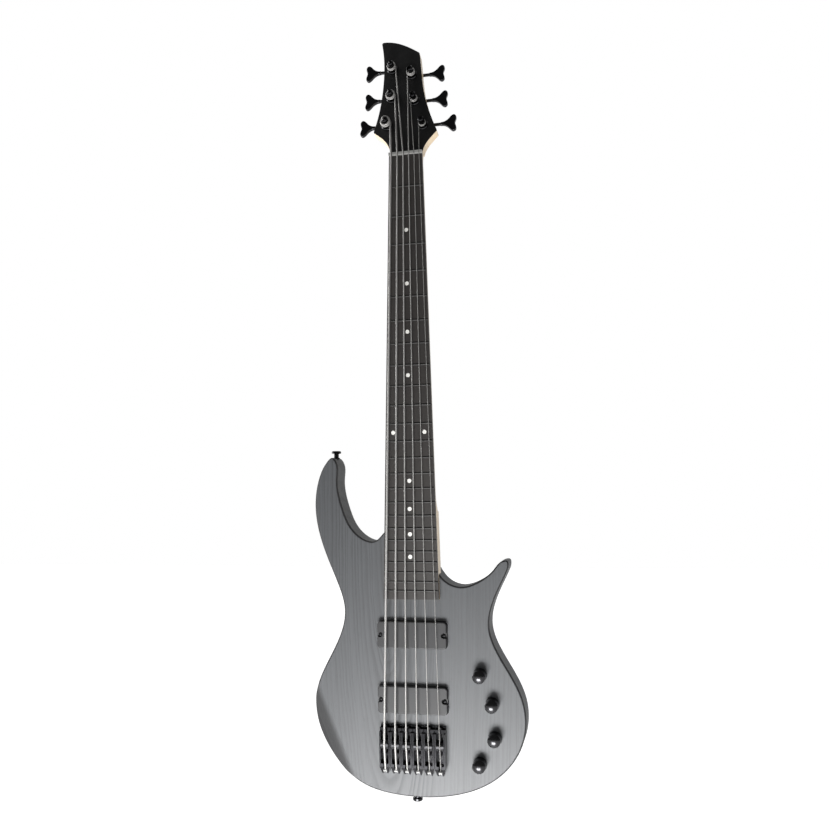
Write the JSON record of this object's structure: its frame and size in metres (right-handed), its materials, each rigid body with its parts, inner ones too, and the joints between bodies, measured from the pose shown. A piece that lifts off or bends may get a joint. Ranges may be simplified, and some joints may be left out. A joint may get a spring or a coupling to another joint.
{
  "type": "electric bass guitar",
  "caption": "Electric bass guitar with an extended string set: horned solid body, bolt-on fretted neck, open-gear machine heads, single-string bridge units, bar pickups and control knobs.",
  "frame": {"origin": "seat of the tail strap button, on the centre line at the body's mid thickness", "axes": "+Z along the neck towards the head, -Y out of the front face, +X to the treble side"},
  "size_m": [0.309, 0.0675, 1.1516],
  "materials": {
    "body_stain": "satin grey-black stain over open ash grain",
    "neck_wood": "satin maple",
    "board_wood": "oiled dark hardwood",
    "head_veneer": "satin black veneer",
    "fret_wire": "polished",
    "dot_inlay": "pearly white",
    "nut_plastic": "dark grey, self-lubricating",
    "string_metal": "nickel roundwound",
    "black_metal": "satin black plating",
    "saddle_metal": "black plating worn bright at the string",
    "black_screws": "black oxide",
    "pickup_plastic": "satin black moulding",
    "coil_wire": "enamelled copper wire",
    "magnet_bar": "ceramic bar",
    "knob_black": "satin black",
    "bare_steel": "plain",
    "cover_plastic": "fine matt black"
  },
  "bodies": {
    "instrument": {"body": "body_stain", "neck": "neck_wood", "fingerboard": "board_wood", "headstock_overlay": "head_veneer", "frets": "fret_wire", "position_dots": "dot_inlay", "nut": "nut_plastic", "strings": "string_metal", "tuner_plates": "black_metal", "tuner_bushings": "black_metal", "bridge_bases": "black_metal", "strap_buttons": "black_metal", "neck_ferrules": "black_metal", "jack_nut": "black_metal", "tuner_screws": "black_screws", "bridge_screws": "black_screws", "pickup_screws": "black_screws", "cover_screws": "black_screws", "neck_screws": "black_screws", "strap_screws": "black_screws", "pickup_covers": "pickup_plastic", "pickup_coils": "coil_wire", "pickup_magnets": "magnet_bar", "truss_rod": "bare_steel", "pot_cans": "bare_steel", "pot_nuts": "bare_steel", "output_jack": "bare_steel", "control_cover": "cover_plastic"},
    "key_1": {"tuner_key_1": "black_metal"},
    "post_1": {"tuner_post_1": "black_metal"},
    "saddle_body_1": {"saddle_1": "saddle_metal"},
    "screw_1": {"intonation_screw_1": "black_screws"},
    "key_2": {"tuner_key_2": "black_metal"},
    "post_2": {"tuner_post_2": "black_metal"},
    "saddle_body_2": {"saddle_2": "saddle_metal"},
    "screw_2": {"intonation_screw_2": "black_screws"},
    "key_3": {"tuner_key_3": "black_metal"},
    "post_3": {"tuner_post_3": "black_metal"},
    "saddle_body_3": {"saddle_3": "saddle_metal"},
    "screw_3": {"intonation_screw_3": "black_screws"},
    "key_4": {"tuner_key_4": "black_metal"},
    "post_4": {"tuner_post_4": "black_metal"},
    "saddle_body_4": {"saddle_4": "saddle_metal"},
    "screw_4": {"intonation_screw_4": "black_screws"},
    "key_5": {"tuner_key_5": "black_metal"},
    "post_5": {"tuner_post_5": "black_metal"},
    "saddle_body_5": {"saddle_5": "saddle_metal"},
    "screw_5": {"intonation_screw_5": "black_screws"},
    "key_6": {"tuner_key_6": "black_metal"},
    "post_6": {"tuner_post_6": "black_metal"},
    "saddle_body_6": {"saddle_6": "saddle_metal"},
    "screw_6": {"intonation_screw_6": "black_screws"},
    "control_1": {"knob_1": "knob_black", "pot_shaft_1": "bare_steel"},
    "control_2": {"knob_2": "knob_black", "pot_shaft_2": "bare_steel"},
    "control_3": {"knob_3": "knob_black", "pot_shaft_3": "bare_steel"},
    "control_4": {"knob_4": "knob_black", "pot_shaft_4": "bare_steel"}
  },
  "joints": [
    {"name": "tuner_key_turn_1", "type": "hinge", "parent": "instrument", "child": "key_1", "pos_m": [-0.0317, 0.00639, 0.99933], "axis": [1, 0, 0], "continuous": true},
    {"name": "tuner_post_turn_1", "type": "hinge", "parent": "instrument", "child": "post_1", "pos_m": [-0.0317, -0.0152, 0.99146], "axis": [0, -0.9848, 0.1736], "continuous": true, "deforming": ["strings"]},
    {"name": "saddle_slide_1", "type": "slide", "parent": "instrument", "child": "saddle_body_1", "axis": [0, 0, 1], "range_m": [-0.004, 0.004], "deforming": ["strings"]},
    {"name": "intonation_turn_1", "type": "hinge", "parent": "instrument", "child": "screw_1", "pos_m": [-0.04, -0.0269, 0.07298], "axis": [0, 0, 1], "range_deg": [-2880, 2880]},
    {"name": "tuner_key_turn_2", "type": "hinge", "parent": "instrument", "child": "key_2", "pos_m": [-0.0255, 0.01456, 1.04565], "axis": [1, 0, 0], "continuous": true},
    {"name": "tuner_post_turn_2", "type": "hinge", "parent": "instrument", "child": "post_2", "pos_m": [-0.0255, -0.00704, 1.03778], "axis": [0, -0.9848, 0.1736], "continuous": true, "deforming": ["strings"]},
    {"name": "saddle_slide_2", "type": "slide", "parent": "instrument", "child": "saddle_body_2", "axis": [0, 0, 1], "range_m": [-0.004, 0.004], "deforming": ["strings"]},
    {"name": "intonation_turn_2", "type": "hinge", "parent": "instrument", "child": "screw_2", "pos_m": [-0.024, -0.0269, 0.07298], "axis": [0, 0, 1], "range_deg": [-2880, 2880]},
    {"name": "tuner_key_turn_3", "type": "hinge", "parent": "instrument", "child": "key_3", "pos_m": [-0.026, 0.02356, 1.09672], "axis": [1, 0, 0], "continuous": true},
    {"name": "tuner_post_turn_3", "type": "hinge", "parent": "instrument", "child": "post_3", "pos_m": [-0.026, 0.00197, 1.08885], "axis": [0, -0.9848, 0.1736], "continuous": true, "deforming": ["strings"]},
    {"name": "saddle_slide_3", "type": "slide", "parent": "instrument", "child": "saddle_body_3", "axis": [0, 0, 1], "range_m": [-0.004, 0.004], "deforming": ["strings"]},
    {"name": "intonation_turn_3", "type": "hinge", "parent": "instrument", "child": "screw_3", "pos_m": [-0.008, -0.0269, 0.07298], "axis": [0, 0, 1], "range_deg": [-2880, 2880]},
    {"name": "tuner_key_turn_4", "type": "hinge", "parent": "instrument", "child": "key_4", "pos_m": [0.0051, 0.02119, 1.08326], "axis": [1, 0, 0], "continuous": true},
    {"name": "tuner_post_turn_4", "type": "hinge", "parent": "instrument", "child": "post_4", "pos_m": [0.0051, -0.0004, 1.07539], "axis": [0, -0.9848, 0.1736], "continuous": true, "deforming": ["strings"]},
    {"name": "saddle_slide_4", "type": "slide", "parent": "instrument", "child": "saddle_body_4", "axis": [0, 0, 1], "range_m": [-0.004, 0.004], "deforming": ["strings"]},
    {"name": "intonation_turn_4", "type": "hinge", "parent": "instrument", "child": "screw_4", "pos_m": [0.008, -0.0269, 0.07298], "axis": [0, 0, 1], "range_deg": [-2880, 2880]},
    {"name": "tuner_key_turn_5", "type": "hinge", "parent": "instrument", "child": "key_5", "pos_m": [0.0107, 0.01309, 1.03734], "axis": [1, 0, 0], "continuous": true},
    {"name": "tuner_post_turn_5", "type": "hinge", "parent": "instrument", "child": "post_5", "pos_m": [0.0107, -0.0085, 1.02947], "axis": [0, -0.9848, 0.1736], "continuous": true, "deforming": ["strings"]},
    {"name": "saddle_slide_5", "type": "slide", "parent": "instrument", "child": "saddle_body_5", "axis": [0, 0, 1], "range_m": [-0.004, 0.004], "deforming": ["strings"]},
    {"name": "intonation_turn_5", "type": "hinge", "parent": "instrument", "child": "screw_5", "pos_m": [0.024, -0.0269, 0.07298], "axis": [0, 0, 1], "range_deg": [-2880, 2880]},
    {"name": "tuner_key_turn_6", "type": "hinge", "parent": "instrument", "child": "key_6", "pos_m": [0.0248, 0.00545, 0.99399], "axis": [1, 0, 0], "continuous": true},
    {"name": "tuner_post_turn_6", "type": "hinge", "parent": "instrument", "child": "post_6", "pos_m": [0.0248, -0.01615, 0.98612], "axis": [0, -0.9848, 0.1736], "continuous": true, "deforming": ["strings"]},
    {"name": "saddle_slide_6", "type": "slide", "parent": "instrument", "child": "saddle_body_6", "axis": [0, 0, 1], "range_m": [-0.004, 0.004], "deforming": ["strings"]},
    {"name": "intonation_turn_6", "type": "hinge", "parent": "instrument", "child": "screw_6", "pos_m": [0.04, -0.0269, 0.07298], "axis": [0, 0, 1], "range_deg": [-2880, 2880]},
    {"name": "knob_turn_1", "type": "hinge", "parent": "instrument", "child": "control_1", "pos_m": [0.09703, -0.021, 0.17169], "axis": [0, -1, 0], "range_deg": [-150, 150]},
    {"name": "knob_turn_2", "type": "hinge", "parent": "instrument", "child": "control_2", "pos_m": [0.11377, -0.021, 0.13216], "axis": [0, -1, 0], "range_deg": [-150, 150]},
    {"name": "knob_turn_3", "type": "hinge", "parent": "instrument", "child": "control_3", "pos_m": [0.11656, -0.021, 0.08585], "axis": [0, -1, 0], "range_deg": [-150, 150]},
    {"name": "knob_turn_4", "type": "hinge", "parent": "instrument", "child": "control_4", "pos_m": [0.09486, -0.021, 0.04995], "axis": [0, -1, 0], "range_deg": [-150, 150]}
  ],
  "couplings": [
    {"joint": "tuner_post_turn_1", "follows": "tuner_key_turn_1", "ratio": 0.05},
    {"joint": "intonation_turn_1", "follows": "saddle_slide_1", "rad_per_m": -12566},
    {"joint": "tuner_post_turn_2", "follows": "tuner_key_turn_2", "ratio": 0.05},
    {"joint": "intonation_turn_2", "follows": "saddle_slide_2", "rad_per_m": -12566},
    {"joint": "tuner_post_turn_3", "follows": "tuner_key_turn_3", "ratio": 0.05},
    {"joint": "intonation_turn_3", "follows": "saddle_slide_3", "rad_per_m": -12566},
    {"joint": "tuner_post_turn_4", "follows": "tuner_key_turn_4", "ratio": 0.05},
    {"joint": "intonation_turn_4", "follows": "saddle_slide_4", "rad_per_m": -12566},
    {"joint": "tuner_post_turn_5", "follows": "tuner_key_turn_5", "ratio": 0.05},
    {"joint": "intonation_turn_5", "follows": "saddle_slide_5", "rad_per_m": -12566},
    {"joint": "tuner_post_turn_6", "follows": "tuner_key_turn_6", "ratio": 0.05},
    {"joint": "intonation_turn_6", "follows": "saddle_slide_6", "rad_per_m": -12566}
  ]
}
